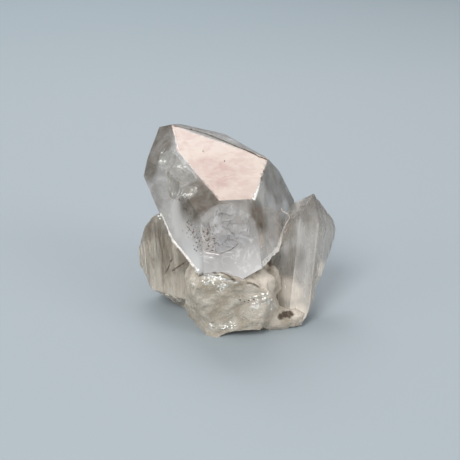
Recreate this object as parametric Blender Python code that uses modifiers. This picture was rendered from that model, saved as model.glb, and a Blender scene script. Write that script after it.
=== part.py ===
"""A small intergrown group of clear quartz on its broken root, at its real size in metres, +Z up.

The group is one grown-together piece: a big crystal that leans back, a pointed one on its right, a stubby
rounded one on its left, three little ones behind it, and the rough root that it broke off the rock with.
Each crystal starts as a block and is cut down to its faces. A face is a flat plane given by its angle from
the crystal's long axis, its bearing round that axis, and its reach from the crystal's heart.
"""

import math
import random

import bmesh
import bpy
from mathutils import Matrix, Vector

MM = 0.001
BLOCK = 160 * MM  # side of the block that every crystal is cut from

# A crystal: heart in mm, then degrees: its lean from upright, the bearing that it leans to (0 is +Y, 90 is
# +X) and the turn of its front face from facing -Y. A face: (degrees from the axis, degrees round it from
# the front face, reach in mm).
MAIN = {
    "heart": (-3, 7, 27),
    "lean": 35.4,
    "heading": -8.5,
    "turn": 10.3,
    "faces": {
        "shining end": (52, 0, 11.6),
        "front": (90, 0, 15.4),
        "right": (90, 60, 14.4),
        "left": (90, -64, 13.1),
        "corner": (61.6, -24, 12.6),
        "left end": (61, -43, 15.4),
        "crest bevel": (40, 17, 16.1),
        "crest": (17.6, -14, 28.2),
        "back right end": (43.6, 68, 21.1),
        "back left end": (45.7, 155, 28.4),
        "far left": (69.6, -90.6, 24.9),
        "upper left": (73.4, -90.6, 23.9),
        "under left": (110, -123, 17.7),
        "left break": (117.7, -125.6, 12.75),
        "lower left break": (130.9, -119.5, 13.55),
        "right break": (117.8, 88.9, 19.2),
        "lower right break": (150.5, 123, 16.1),
        "far right": (61.2, 76.7, 22.2),
        "foot": (162.6, -109.2, 19.94),
        "back": (90, 180, 14.8),
    },
}
RIGHT = {
    "heart": (20, 3.5, 14.3),
    "lean": 33.4,
    "heading": 14.4,
    "turn": 3.4,
    "faces": {
        "front": (90, 3, 4.3),
        "front end": (69, 6, 7.9),
        "right": (90, 48, 5.0),
        "right end": (68.7, 45, 8.4),
        "far right": (90, 112, 10.2),
        "left": (90, -36, 5.0),
        "left end": (57, -52, 10.4),
        "lower left end": (75, -72, 6.9),
        "back end": (48, 178, 12.8),
        "back": (90, 180, 4.2),
        "back left": (90, -120, 18.0),
        "under right": (107, 92, 6.8),
        "foot": (146.6, 159.5, 13.0),
    },
}
LEFT = {
    "heart": (-16, 10, 14),
    "lean": 29.2,
    "heading": -11.8,
    "turn": -19.3,
    "faces": {
        "front": (90, -5, 7.1),
        "front left": (90, -24, 7.5),
        "left front": (90, -46, 8.5),
        "left": (90, -70, 10.5),
        "far left": (90, -95, 11.3),
        "right": (90, 62, 13.0),
        "back left": (90, -138, 9.6),
        "back": (90, 176, 9.0),
        "back right": (90, 122, 11.0),
        "back end": (49, 168, 10.4),
        "back left end": (54, -125, 10.6),
        "under back": (128, -170, 11.0),
        "left shoulder": (56, -75, 10.5),
        "front shoulder": (58, -30, 10.9),
        "top": (20, -20, 12.0),
        "under left": (120, -80, 10.4),
        "under front": (143, -70, 11.9),
        "foot": (150, -50, 12.6),
    },
}
ROOT = {
    "heart": (2, 3, 9),
    "lean": 0,
    "heading": 0,
    "turn": 0,
    "faces": {
        "front": (96, 8, 16.9),
        "front left": (97, -68, 15.3),
        "lower front left": (120, -50, 18.1),
        "front right": (102, 47, 15.8),
        "upper right": (72.5, 96, 6.9),
        "upper left": (39.5, -104, 9.2),
        "lower front right": (107.4, 26, 15.6),
        "left": (96, -105, 15.5),
        "right": (102, 102, 18.5),
        "back": (92, 178, 19.3),
        "back left": (70, -140, 18.0),
        "top": (13, 167, 5.5),
        "bottom": (180, 0, 13.0),
    },
}
LEDGE = {
    "heart": (0, -10, 9),
    "lean": 0,
    "heading": 0,
    "turn": 0,
    "faces": {
        "front": (100.8, 1.2, 6.5),
        "left": (104.7, -30.2, 8.75),
        "upper left": (64, -80.5, 11.4),
        "lower left": (106.9, -64, 9.6),
        "right": (105.8, 54.9, 10.9),
        "upper right": (70, 90, 11.2),
        "top left": (17.3, -60, 12.1),
        "top right": (24.9, 71.2, 10.1),
        "far left": (94, -88, 12.0),
        "bottom": (180, 0, 13.0),
        "back": (90, 180, 12.0),
    },
}
BACK_LEDGE = {
    "heart": (3, 12, 6),
    "lean": 0,
    "heading": 0,
    "turn": 0,
    "faces": {
        "right": (96, 80, 15.0),
        "back right": (104, 128, 13.5),
        "back": (98, 172, 12.0),
        "back left": (106, -142, 14.0),
        "left": (98, -95, 14.0),
        "top": (14, 150, 7.5),
        "top right": (50, 75, 12.5),
        "top left": (48, -110, 11.0),
        "bottom": (180, 0, 10.0),
        "front": (90, 0, 14.0),
    },
}

# The three little crystals behind: heart, lean, heading, turn, width, and length from the heart to the tip
BACK_CRYSTALS = (
    ((8, 19, 13), 52, 24, 12, 11.0, 15.0),
    ((-9, 21, 8), 66, -30, 40, 8.0, 12.0),
    ((0, 20, 19), 38, 4, 25, 9.0, 11.0),
)
HEX_STEP = 60  # a quartz prism has six sides
END_ANGLE = 51.8  # how far the square line of a quartz end face turns from the crystal's axis
LESSER_END = 1.25  # every other end face grows further out, and so is smaller
SIDE_SPREAD = (0.85, 1.1)  # how unevenly the side faces grow
END_SPREAD = (0.95, 1.08)

# Rough lumps on the root: place and half sizes in mm
ROOT_LUMPS = (
    ((12.0, -8.6, 2.2), (5.6, 3.2, 3.4)),
    ((17.3, -7.2, 2.0), (3.8, 3.0, 3.0)),
    ((-9.2, -13.6, 15.5), (1.6, 1.8, 3.2)),
    ((8.4, -11.5, 13.6), (3.6, 4.2, 4.4)),
)
ROOT_GRAIN = 1.2 * MM  # size of the facets on broken rock
# What breaks up the root's surface: the kind of noise, the size of its lumps and how far it moves the rock
ROUGHNESS = (
    ("CLOUDS", 6.5 * MM, 1.2 * MM),
    ("VORONOI", 4.2 * MM, 1.2 * MM),
    ("CLOUDS", 2.2 * MM, 0.6 * MM),
)

# Hollows broken out of the surface: place and half sizes in mm
HOLLOWS = (
    ((5.5, -16.0, -1.2), (9.0, 6.5, 3.6)),  # undercut below the front
    ((27.0, -2.0, 9.2), (2.4, 3.6, 3.2)),  # shell-shaped break low on the right crystal
    ((5.4, -5.6, 35.0), (0.9, 0.8, 0.7)),  # notch in the shining end's lower edge
    ((-3.4, -19.2, 18.7), (3.2, 1.1, 1.3)),  # bright chip below the front face
)
# Shallow dishes in the big crystal's faces: face, place in mm, half width, half height and depth in mm
DISHES = (
    ("front", (-0.8, -10.6, 28.7), 7.2, 6.4, 0.45),
    ("left end", (-17.4, 14.5, 40.2), 4.6, 3.4, 0.35),
    ("corner", (-12.4, 5.0, 38.0), 3.8, 4.6, 0.4),
    ("left", (-15.0, 4.4, 35.6), 4.0, 3.0, 0.4),
)
DISH_ROUNDNESS = 3  # a dish's ball is this many times as thick as the dish is deep
CHIP_SIZE = (1.3, 2.6)  # smallest and largest half size of an edge chip, in mm
CHIP_BITE = 0.4  # share of a chip's half size that goes into the edge
# Where the big crystal is broken off: the two faces that meet at the edge, the coordinate that counts along
# it (0 is x, 1 is y), where the chips start and end on that, in mm, and how many there are
BROKEN_EDGES = (
    ("left", "left break", 1, 8.0, -0.6, 3),
    ("left", "lower left break", 1, -0.6, -14.0, 4),
    ("right", "right break", 1, 15.0, 0.5, 5),
    ("right", "lower right break", 1, -1.5, -12.5, 4),
    ("front", "foot", 0, -6.0, 1.5, 2),
)
FLOOR_DEPTH = 30 * MM  # how deep the block is that cuts the foot flat

QUARTZ_GREY = (0.60, 0.585, 0.555, 1)
QUARTZ_ROUGHNESS = 0.12
QUARTZ_IOR = 1.544
QUARTZ_CLEARNESS = 0.7  # share of the light that goes through


def clear_scene():
    for obj in list(bpy.data.objects):
        bpy.data.objects.remove(obj)


def new_collection(name):
    collection = bpy.data.collections.new(name)
    bpy.context.scene.collection.children.link(collection)
    return collection


def quartz_material():
    """Clear grey quartz, slightly milky."""
    material = bpy.data.materials.new("clear_quartz")
    material.use_nodes = True
    shader = material.node_tree.nodes["Principled BSDF"]
    shader.inputs["Base Color"].default_value = QUARTZ_GREY
    shader.inputs["Roughness"].default_value = QUARTZ_ROUGHNESS
    shader.inputs["Metallic"].default_value = 0
    shader.inputs["IOR"].default_value = QUARTZ_IOR
    shader.inputs["Transmission Weight"].default_value = QUARTZ_CLEARNESS
    return material


def new_object(name, bm, collection):
    mesh = bpy.data.meshes.new(name)
    bmesh.ops.recalc_face_normals(bm, faces=bm.faces)
    bm.to_mesh(mesh)
    bm.free()
    obj = bpy.data.objects.new(name, mesh)
    collection.objects.link(obj)
    return obj


def crystal_axes(crystal):
    """The crystal's long axis, the direction its front faces, and its right."""
    lean = math.radians(crystal["lean"])
    heading = math.radians(crystal["heading"])
    axis = Vector((math.sin(lean) * math.sin(heading), math.sin(lean) * math.cos(heading), math.cos(lean)))
    facing = Vector((0, -1, 0))
    front = (facing - facing.dot(axis) * axis).normalized()
    front = Matrix.Rotation(math.radians(crystal["turn"]), 3, axis) @ front
    return axis, front, axis.cross(front)


def face_normal(axes, from_axis, around):
    axis, front, right = axes
    tip = math.radians(from_axis)
    bearing = math.radians(around)
    outward = math.cos(bearing) * front + math.sin(bearing) * right
    return math.cos(tip) * axis + math.sin(tip) * outward


def cut_face(bm, point, normal):
    """Cuts away what lies beyond a plane and closes the cut with one flat face."""
    everything = bm.verts[:] + bm.edges[:] + bm.faces[:]
    cut = bmesh.ops.bisect_plane(bm, geom=everything, plane_co=point, plane_no=normal, clear_outer=True)
    edges = [part for part in cut["geom_cut"] if isinstance(part, bmesh.types.BMEdge)]
    if edges:
        bmesh.ops.edgenet_fill(bm, edges=edges)


def cut_crystal(name, crystal, collection):
    bm = bmesh.new()
    bmesh.ops.create_cube(bm, size=BLOCK)
    heart = Vector(crystal["heart"]) * MM
    bmesh.ops.translate(bm, verts=bm.verts, vec=heart)
    axes = crystal_axes(crystal)
    for from_axis, around, reach in crystal["faces"].values():
        normal = face_normal(axes, from_axis, around)
        cut_face(bm, heart + normal * reach * MM, normal)
    return new_object(name, bm, collection)


def pointed_prism(heart, lean, heading, turn, width, length, seed):
    """A six-sided crystal with a point, its faces a little uneven as grown ones are."""
    grown = random.Random(seed)
    faces = {}
    for side in range(6):
        around = side * HEX_STEP
        faces[f"side {side}"] = (90, around, width / 2 * grown.uniform(*SIDE_SPREAD))
        end_reach = length * math.cos(math.radians(END_ANGLE)) * (1 if side % 2 else LESSER_END)
        faces[f"end {side}"] = (END_ANGLE, around, end_reach * grown.uniform(*END_SPREAD))
    faces["foot"] = (180, 0, length)
    return {"heart": heart, "lean": lean, "heading": heading, "turn": turn, "faces": faces}


def ball(name, place, half_sizes, collection, detail=3):
    """A rounded lump, for adding to the root or for breaking a hollow out."""
    bm = bmesh.new()
    bmesh.ops.create_icosphere(bm, subdivisions=detail, radius=1)
    bmesh.ops.scale(bm, verts=bm.verts, vec=Vector(half_sizes) * MM)
    bmesh.ops.translate(bm, verts=bm.verts, vec=Vector(place) * MM)
    return new_object(name, bm, collection)


def dish(name, face, place, half_width, half_height, depth, collection):
    """A flat ball sunk a little way into one of the big crystal's faces."""
    from_axis, around, _ = MAIN["faces"][face]
    normal = face_normal(crystal_axes(MAIN), from_axis, around)
    thickness = depth * DISH_ROUNDNESS
    centre = Vector(place) + normal * (thickness - depth)
    flat = ball(name, (0, 0, 0), (half_width, half_height, thickness), collection)
    facing = normal.to_track_quat("Z", "Y").to_matrix().to_4x4()
    flat.data.transform(Matrix.Translation(centre * MM) @ facing)
    return flat


def boolean(obj, other, operation):
    modifier = obj.modifiers.new(f"{operation.lower()} {other.name}", "BOOLEAN")
    modifier.operation = operation
    modifier.solver = "EXACT"
    modifier.object = other


def even_facets(obj):
    remesh = obj.modifiers.new("facets", "REMESH")
    remesh.mode = "VOXEL"
    remesh.voxel_size = ROOT_GRAIN


def roughen(obj):
    """Broken rock: the joined lumps are cut into even facets, which coarse and fine noise push about."""
    even_facets(obj)
    for index, (kind, size, depth) in enumerate(ROUGHNESS):
        texture = bpy.data.textures.new(f"break {index}", kind)
        texture.noise_scale = size
        push = obj.modifiers.new(f"break {index}", "DISPLACE")
        push.texture = texture
        push.texture_coords = "LOCAL"
        push.strength = depth
        push.mid_level = 0.5
    even_facets(obj)


def build_root(helpers):
    root = cut_crystal("root", ROOT, helpers)
    boolean(root, cut_crystal("ledge", LEDGE, helpers), "UNION")
    boolean(root, cut_crystal("back_ledge", BACK_LEDGE, helpers), "UNION")
    for index, (place, half_sizes) in enumerate(ROOT_LUMPS):
        boolean(root, ball(f"root_lump_{index}", place, half_sizes, helpers, detail=2), "UNION")
    roughen(root)
    return root


def edge_point(crystal, faces, side, place):
    """The point of a crystal's edge, between two of its faces, whose x or y coordinate is the given place."""
    heart = Vector(crystal["heart"])
    normals = []
    distances = []
    for from_axis, around, reach in [crystal["faces"][face] for face in faces]:
        normal = face_normal(crystal_axes(crystal), from_axis, around)
        normals.append(normal)
        distances.append(normal.dot(heart) + reach)
    along = Vector((0, 0, 0))
    along[side] = 1
    point = Matrix((*normals, along)).inverted() @ Vector((*distances, place))
    return point, (normals[0] + normals[1]).normalized()


def edge_chips(helpers):
    """Small bites along the broken edges where the big crystal ends in the rest."""
    breaking = random.Random(11)
    chips = []
    for *faces, side, start, end, count in BROKEN_EDGES:
        for step in range(count):
            along = (step + breaking.uniform(0.2, 0.8)) / count
            point, outward = edge_point(MAIN, faces, side, start + (end - start) * along)
            half_sizes = [breaking.uniform(*CHIP_SIZE) for _ in range(3)]
            centre = point + outward * min(half_sizes) * (1 - CHIP_BITE)
            chips.append(ball(f"chip_{len(chips)}", centre, half_sizes, helpers, detail=1))
    return chips


def floor_block(helpers):
    bm = bmesh.new()
    bmesh.ops.create_cube(bm, size=1)
    bmesh.ops.scale(bm, verts=bm.verts, vec=(BLOCK, BLOCK, FLOOR_DEPTH))
    bmesh.ops.translate(bm, verts=bm.verts, vec=(0, 0, -FLOOR_DEPTH / 2))
    return new_object("floor_block", bm, helpers)


def build_cluster(parts, helpers):
    cluster = cut_crystal("quartz_cluster", MAIN, parts)
    boolean(cluster, cut_crystal("right_crystal", RIGHT, helpers), "UNION")
    boolean(cluster, cut_crystal("left_crystal", LEFT, helpers), "UNION")
    for index, sizes in enumerate(BACK_CRYSTALS):
        crystal = pointed_prism(*sizes, seed=index)
        boolean(cluster, cut_crystal(f"back_crystal_{index}", crystal, helpers), "UNION")
    boolean(cluster, build_root(helpers), "UNION")
    for index, (place, half_sizes) in enumerate(HOLLOWS):
        boolean(cluster, ball(f"hollow_{index}", place, half_sizes, helpers), "DIFFERENCE")
    for index, (face, *sizes) in enumerate(DISHES):
        boolean(cluster, dish(f"dish_{index}", face, *sizes, helpers), "DIFFERENCE")
    for chip in edge_chips(helpers):
        boolean(cluster, chip, "DIFFERENCE")
    boolean(cluster, floor_block(helpers), "DIFFERENCE")
    return cluster


def stand_at_origin(stand, cluster):
    """Moves the stand, and all that hangs on it, so that the middle of the cluster's box is over the origin."""
    bpy.context.view_layer.update()
    finished = cluster.evaluated_get(bpy.context.evaluated_depsgraph_get())
    corners = [finished.matrix_world @ Vector(corner) for corner in finished.bound_box]
    for side in (0, 1):
        places = [corner[side] for corner in corners]
        stand.location[side] = -(min(places) + max(places)) / 2


def main():
    clear_scene()
    parts = new_collection("quartz_cluster_group")
    helpers = new_collection("shapes_joined_in")
    cluster = build_cluster(parts, helpers)
    cluster.data.materials.append(quartz_material())
    stand = bpy.data.objects.new("stand", None)
    parts.objects.link(stand)
    for obj in list(parts.objects) + list(helpers.objects):
        if obj != stand:
            obj.parent = stand
    for obj in helpers.objects:
        obj.hide_render = True
        obj.display_type = "WIRE"
    stand_at_origin(stand, cluster)
    print("stand moved by", [round(value / MM, 2) for value in stand.location], "mm")


main()
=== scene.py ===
# %% [markdown]
# # A small group of quartz crystals
#
# A big clear crystal leans back, a pointed one stands on its right, a stubby one on its left, and all of them
# grow out of one rough, broken root. This notebook builds the group the way a carver would cut it from blocks:
# each crystal is a block whose faces are sawn off one by one, the root is a lump of broken rock, and everything
# is fused in one body. After that come the small things that make quartz look real: worn edges, chips, growth
# marks, frosted skin, veils, brown specks and cracks, and painted shade, a painted sheen and painted highlights.

# %% Load the frame
import math
import random

import bpy
import numpy as np
from mathutils import Matrix, Vector, noise


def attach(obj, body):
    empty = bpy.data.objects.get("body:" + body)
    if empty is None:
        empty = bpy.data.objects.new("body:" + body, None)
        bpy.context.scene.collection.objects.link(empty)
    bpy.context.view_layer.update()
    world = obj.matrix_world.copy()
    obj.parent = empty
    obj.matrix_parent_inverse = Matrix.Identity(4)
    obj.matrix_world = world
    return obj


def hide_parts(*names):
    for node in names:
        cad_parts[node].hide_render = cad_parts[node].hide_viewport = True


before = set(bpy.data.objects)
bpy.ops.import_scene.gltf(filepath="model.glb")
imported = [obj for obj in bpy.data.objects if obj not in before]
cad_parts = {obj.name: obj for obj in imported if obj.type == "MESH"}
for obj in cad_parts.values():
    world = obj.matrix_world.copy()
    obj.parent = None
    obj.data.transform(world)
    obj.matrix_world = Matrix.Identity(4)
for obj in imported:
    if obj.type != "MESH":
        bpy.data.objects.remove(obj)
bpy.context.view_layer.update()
MM = 0.001
NODE = "quartz_cluster"

# %% [markdown]
# ## Where the group is drawn
#
# The crystals were measured from a point below the big crystal, and the frame has its origin under the middle of
# the whole group. One offset takes a measured place, in millimetres, to its place in the frame, in metres.

# %% From measured millimetres to the frame
MIDDLE = Vector((1.98, 8.54, 0))  # the middle of the group's foot, in the measured millimetres


def at(place):
    """A measured place in millimetres, as a point of the frame in metres."""
    return (Vector(place) - MIDDLE) * MM


print("the drawing point lies at", [round(value, 4) for value in at((0, 0, 0))])

# %% [markdown]
# ## Working by hand in code
#
# Blender's operators act on whatever is selected. So every step first lets go of everything, then takes up one
# object, just as a hand would. These helpers do only that.

# %% Take up one object, apply a modifier, show only some faces
def take_up(obj):
    bpy.ops.object.select_all(action="DESELECT")
    obj.select_set(True)
    bpy.context.view_layer.objects.active = obj


def apply_modifier(obj, modifier):
    take_up(obj)
    bpy.ops.object.modifier_apply(modifier=modifier.name)


def points_of(obj):
    flat = np.empty(len(obj.data.vertices) * 3, np.float32)
    obj.data.vertices.foreach_get("co", flat)
    return flat.reshape(-1, 3)


def show_only(obj, chosen):
    """Goes into edit mode with all but the chosen faces hidden."""
    take_up(obj)
    bpy.context.tool_settings.mesh_select_mode = (False, False, True)
    mesh = obj.data
    mesh.vertices.foreach_set("select", np.zeros(len(mesh.vertices), bool))
    mesh.edges.foreach_set("select", np.zeros(len(mesh.edges), bool))
    mesh.polygons.foreach_set("select", chosen)
    bpy.ops.object.mode_set(mode="EDIT")
    bpy.ops.mesh.hide(unselected=True)


def open_edges(obj):
    """How many edges don't have exactly two faces; 0 in a closed skin."""
    used = np.empty(len(obj.data.loops), np.int32)
    obj.data.loops.foreach_get("edge_index", used)
    return int((np.bincount(used, minlength=len(obj.data.edges)) != 2).sum())


def report(obj):
    size = [round(value / MM, 1) for value in obj.dimensions]
    print(f"{obj.name}: {len(obj.data.polygons)} faces, {open_edges(obj)} open edges, {size} mm")


# %% [markdown]
# ## The crystals' faces
#
# A quartz crystal is a six-sided column with a point, but a grown one is never even: some faces crowd out the
# others. Here a face is a flat plane with three numbers: its angle from the crystal's long axis, its bearing
# round that axis from the front face, and its reach from the crystal's heart in millimetres. The crystal itself
# leans back from upright, heads a little to one side while it does, and is turned round its own axis, all in
# degrees. The same numbers shape the solid model, so the finished group sits exactly where the frame has it.

# %% The big crystal
MAIN = {
    "heart": (-3, 7, 27), "lean": 35.4, "heading": -8.5, "turn": 10.3,
    "faces": {
        "shining end": (52, 0, 11.6), "front": (90, 0, 15.4), "right": (90, 60, 14.4), "left": (90, -64, 13.1),
        "corner": (61.6, -24, 12.6), "left end": (61, -43, 15.4), "crest bevel": (40, 17, 16.1),
        "crest": (17.6, -14, 28.2), "back right end": (43.6, 68, 21.1), "back left end": (45.7, 155, 28.4),
        "far left": (69.6, -90.6, 24.9), "upper left": (73.4, -90.6, 23.9), "under left": (110, -123, 17.7),
        "left break": (117.7, -125.6, 12.75), "lower left break": (130.9, -119.5, 13.55),
        "right break": (117.8, 88.9, 19.2), "lower right break": (150.5, 123, 16.1),
        "far right": (61.2, 76.7, 22.2), "foot": (162.6, -109.2, 19.94), "back": (90, 180, 14.8),
    },
}
print("the big crystal has", len(MAIN["faces"]), "faces")

# %% The pointed crystal on the right and the stubby one on the left
RIGHT = {
    "heart": (20, 3.5, 14.3), "lean": 33.4, "heading": 14.4, "turn": 3.4,
    "faces": {
        "front": (90, 3, 4.3), "front end": (69, 6, 7.9), "right": (90, 48, 5.0), "right end": (68.7, 45, 8.4),
        "far right": (90, 112, 10.2), "left": (90, -36, 5.0), "left end": (57, -52, 10.4),
        "lower left end": (75, -72, 6.9), "back end": (48, 178, 12.8), "back": (90, 180, 4.2),
        "back left": (90, -120, 18.0), "under right": (107, 92, 6.8), "foot": (146.6, 159.5, 13.0),
    },
}
LEFT = {
    "heart": (-16, 10, 14), "lean": 29.2, "heading": -11.8, "turn": -19.3,
    "faces": {
        "front": (90, -5, 7.1), "front left": (90, -24, 7.5), "left front": (90, -46, 8.5),
        "left": (90, -70, 10.5), "far left": (90, -95, 11.3), "right": (90, 62, 13.0),
        "back left": (90, -138, 9.6), "back": (90, 176, 9.0), "back right": (90, 122, 11.0),
        "back end": (49, 168, 10.4), "back left end": (54, -125, 10.6), "under back": (128, -170, 11.0),
        "left shoulder": (56, -75, 10.5), "front shoulder": (58, -30, 10.9), "top": (20, -20, 12.0),
        "under left": (120, -80, 10.4), "under front": (143, -70, 11.9), "foot": (150, -50, 12.6),
    },
}
print("the side crystals have", len(RIGHT["faces"]), "and", len(LEFT["faces"]), "faces")

# %% [markdown]
# ## Sawing a crystal out of a block
#
# The Bisect tool cuts a mesh with a plane, throws away what lies beyond it and closes the cut with one flat
# face. A block cut like this for each plane ends up with truly flat faces and sharp edges, which is what makes
# clear crystal sparkle. Sculpting would leave the faces wavy, and a primitive cone would be far too regular.

# %% From three numbers to a plane, and from planes to a crystal
BLOCK = 160 * MM


def crystal_axes(crystal):
    """The crystal's long axis, the direction that its front faces, and its right."""
    lean = math.radians(crystal["lean"])
    heading = math.radians(crystal["heading"])
    axis = Vector((math.sin(lean) * math.sin(heading), math.sin(lean) * math.cos(heading), math.cos(lean)))
    facing = Vector((0, -1, 0))
    front = (facing - facing.dot(axis) * axis).normalized()
    front = Matrix.Rotation(math.radians(crystal["turn"]), 3, axis) @ front
    return axis, front, axis.cross(front)


def planes_of(crystal):
    """Each face's name, outward direction and a point on it."""
    axis, front, right = crystal_axes(crystal)
    heart = at(crystal["heart"])
    planes = {}
    for name, (from_axis, around, reach) in crystal["faces"].items():
        tip = math.radians(from_axis)
        bearing = math.radians(around)
        outward = math.cos(bearing) * front + math.sin(bearing) * right
        normal = math.cos(tip) * axis + math.sin(tip) * outward
        planes[name] = (normal, heart + normal * reach * MM)
    return planes


def saw_out(name, crystal):
    bpy.ops.mesh.primitive_cube_add(size=BLOCK, location=at(crystal["heart"]))
    obj = bpy.context.object
    obj.name = name
    take_up(obj)
    bpy.ops.object.transform_apply(location=True, rotation=False, scale=False)
    bpy.ops.object.mode_set(mode="EDIT")
    for normal, point in planes_of(crystal).values():
        bpy.ops.mesh.select_all(action="SELECT")
        bpy.ops.mesh.bisect(plane_co=point, plane_no=normal, use_fill=True, clear_outer=True)
    bpy.ops.object.mode_set(mode="OBJECT")
    report(obj)
    return obj


big_crystal = saw_out("big_crystal", MAIN)
right_crystal = saw_out("right_crystal", RIGHT)
left_crystal = saw_out("left_crystal", LEFT)

# %% [markdown]
# ## Three little crystals behind
#
# The far side of such a group usually carries small crystals that grew in the gap. They are regular enough to
# be made by a rule: six sides, six end faces, each pushed in or out a little by a seeded draw.

# %% Little crystals by a rule
LITTLE_CRYSTALS = (  # heart, lean, heading, turn, width across, length from the heart to the tip
    ((8, 19, 13), 52, 24, 12, 11.0, 15.0),
    ((-9, 21, 8), 66, -30, 40, 8.0, 12.0),
    ((0, 20, 19), 38, 4, 25, 9.0, 11.0),
)
HEX_STEP = 60
END_ANGLE = 51.8  # how far the square line of a quartz end face turns from the crystal's axis
LESSER_END = 1.25  # every other end face grows further out, and so is smaller
SIDE_SPREAD = (0.85, 1.1)
END_SPREAD = (0.95, 1.08)


def little_crystal(heart, lean, heading, turn, width, length, seed):
    grown = random.Random(seed)
    faces = {}
    for side in range(6):
        around = side * HEX_STEP
        faces[f"side {side}"] = (90, around, width / 2 * grown.uniform(*SIDE_SPREAD))
        end_reach = length * math.cos(math.radians(END_ANGLE)) * (1 if side % 2 else LESSER_END)
        faces[f"end {side}"] = (END_ANGLE, around, end_reach * grown.uniform(*END_SPREAD))
    faces["foot"] = (180, 0, length)
    return {"heart": heart, "lean": lean, "heading": heading, "turn": turn, "faces": faces}


little_ones = [little_crystal(*sizes, seed=seed) for seed, sizes in enumerate(LITTLE_CRYSTALS)]
little_crystals = [saw_out(f"little_crystal_{index}", crystal) for index, crystal in enumerate(little_ones)]

# %% [markdown]
# ## Worn edges and chips
#
# Fresh quartz edges are sharp, but never perfectly so: a narrow bevel catches the light as a thin line. Along
# the edges where the big crystal was broken off, bites are missing. Each bite is a rough twenty-sided lump that
# a Boolean takes out of the edge, so its floor is a little glassy shell of flat planes, as in real quartz.

# %% Bevel the edges
EDGE_WEAR = 0.13 * MM
LESSER_WEAR = EDGE_WEAR / 3  # on the smaller crystals


def wear_edges(obj, width):
    take_up(obj)
    bpy.ops.object.mode_set(mode="EDIT")
    bpy.ops.mesh.select_all(action="SELECT")
    bpy.ops.mesh.bevel(offset=width, segments=1, affect="EDGES", clamp_overlap=True)
    bpy.ops.object.mode_set(mode="OBJECT")


# %% Fuse or cut with a Boolean, then throw the tool away
def combine(obj, other, operation):
    modifier = obj.modifiers.new(f"{operation.lower()} {other.name}", "BOOLEAN")
    modifier.operation = operation
    modifier.solver = "MANIFOLD"
    modifier.object = other
    apply_modifier(obj, modifier)
    bpy.data.objects.remove(other)


def lump(name, centre, half_sizes, turn=(0, 0, 0), detail=1):
    bpy.ops.mesh.primitive_ico_sphere_add(subdivisions=detail, radius=1, location=centre, rotation=turn)
    obj = bpy.context.object
    obj.name = name
    obj.scale = half_sizes
    take_up(obj)
    bpy.ops.object.transform_apply(location=True, rotation=True, scale=True)
    return obj


# %% Bite along the broken edges
# The two faces that meet at the edge, the coordinate that counts along it (0 is x, 1 is y), where the chips
# start and end on that, in measured millimetres, how many there are, and how wide the white rim is, in mm
BROKEN_EDGES = (
    ("left", "left break", 1, 8.0, -0.6, 7, 1.8),
    ("left", "lower left break", 1, -0.6, -14.5, 10, 1.9),
    ("right", "right break", 1, 21.0, 0.5, 14, 3.4),
    ("right", "lower right break", 1, -0.5, -13.0, 9, 3.0),
    ("front", "foot", 0, -8.5, 8.5, 12, 0.6),
)
CHIP_PLACE = (0.1, 0.9)  # where a chip may lie in its share of the edge
CHIP_SIZE = (0.6, 2.0)  # smallest and largest half size of a chip, in mm
CHIP_BITE = 0.4  # share of a chip's half size that goes into the edge
RIM_STEPS = 60  # points along each edge, for marking the rim


def edge_point(crystal, faces, side, place):
    """The point of an edge between two faces whose x or y is the given measured place, and the way out there."""
    planes = planes_of(crystal)
    (first, on_first), (second, on_second) = planes[faces[0]], planes[faces[1]]
    along = Vector((0, 0, 0))
    along[side] = 1
    distances = Vector((first.dot(on_first), second.dot(on_second), (place - MIDDLE[side]) * MM))
    point = Matrix((first, second, along)).inverted() @ distances
    return point, (first + second).normalized()


def chip_edges(obj, crystal, edges, seed):
    breaking = random.Random(seed)
    rim = []
    for *faces, side, start, end, count, width in edges:
        for step in range(count):
            along = (step + breaking.uniform(*CHIP_PLACE)) / count
            point, outward = edge_point(crystal, faces, side, start + (end - start) * along)
            half_sizes = [breaking.uniform(*CHIP_SIZE) * MM for _ in range(3)]
            turn = [breaking.uniform(0, math.pi) for _ in range(3)]
            centre = point + outward * min(half_sizes) * (1 - CHIP_BITE)
            combine(obj, lump("chip", centre, half_sizes, turn), "DIFFERENCE")
        for step in range(RIM_STEPS + 1):
            rim.append((edge_point(crystal, faces, side, start + (end - start) * step / RIM_STEPS)[0], width))
    return rim


broken_rim = chip_edges(big_crystal, MAIN, BROKEN_EDGES, seed=5)
wear_edges(big_crystal, EDGE_WEAR)
for crystal in (right_crystal, left_crystal, *little_crystals):
    wear_edges(crystal, LESSER_WEAR)
report(big_crystal)

# %% [markdown]
# ## A fine mesh on flat faces
#
# A flat face with four corners can't hold any relief. So each crystal is sliced, like a loaf of bread, in three
# directions, and nothing is taken away. The faces stay exactly flat, but they are now made of small pieces that
# growth marks can bend a little.

# %% Slice a crystal three ways
SLICE = 0.9 * MM


def slice_up(obj, crystal, step, within=None):
    """Slices the whole skin, or only the faces whose middle gets more than 0 from a function."""
    middles = np.empty(len(obj.data.polygons) * 3, np.float32)
    obj.data.polygons.foreach_get("center", middles)
    middles = middles.reshape(-1, 3)
    chosen = within(middles) > 0 if within else np.ones(len(middles), bool)
    points = middles[chosen] if within else points_of(obj)
    heart = at(crystal["heart"])
    show_only(obj, chosen)
    for way in crystal_axes(crystal):
        along = (points - np.array(heart)) @ np.array(way)
        for place in np.arange(along.min() + step / 2, along.max(), step):
            bpy.ops.mesh.select_all(action="SELECT")
            bpy.ops.mesh.bisect(plane_co=heart + way * place, plane_no=way)
    bpy.ops.mesh.reveal()
    bpy.ops.mesh.select_all(action="SELECT")
    bpy.ops.mesh.quads_convert_to_tris(quad_method="SHORTEST_DIAGONAL", ngon_method="BEAUTY")
    bpy.ops.object.mode_set(mode="OBJECT")
    report(obj)


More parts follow.
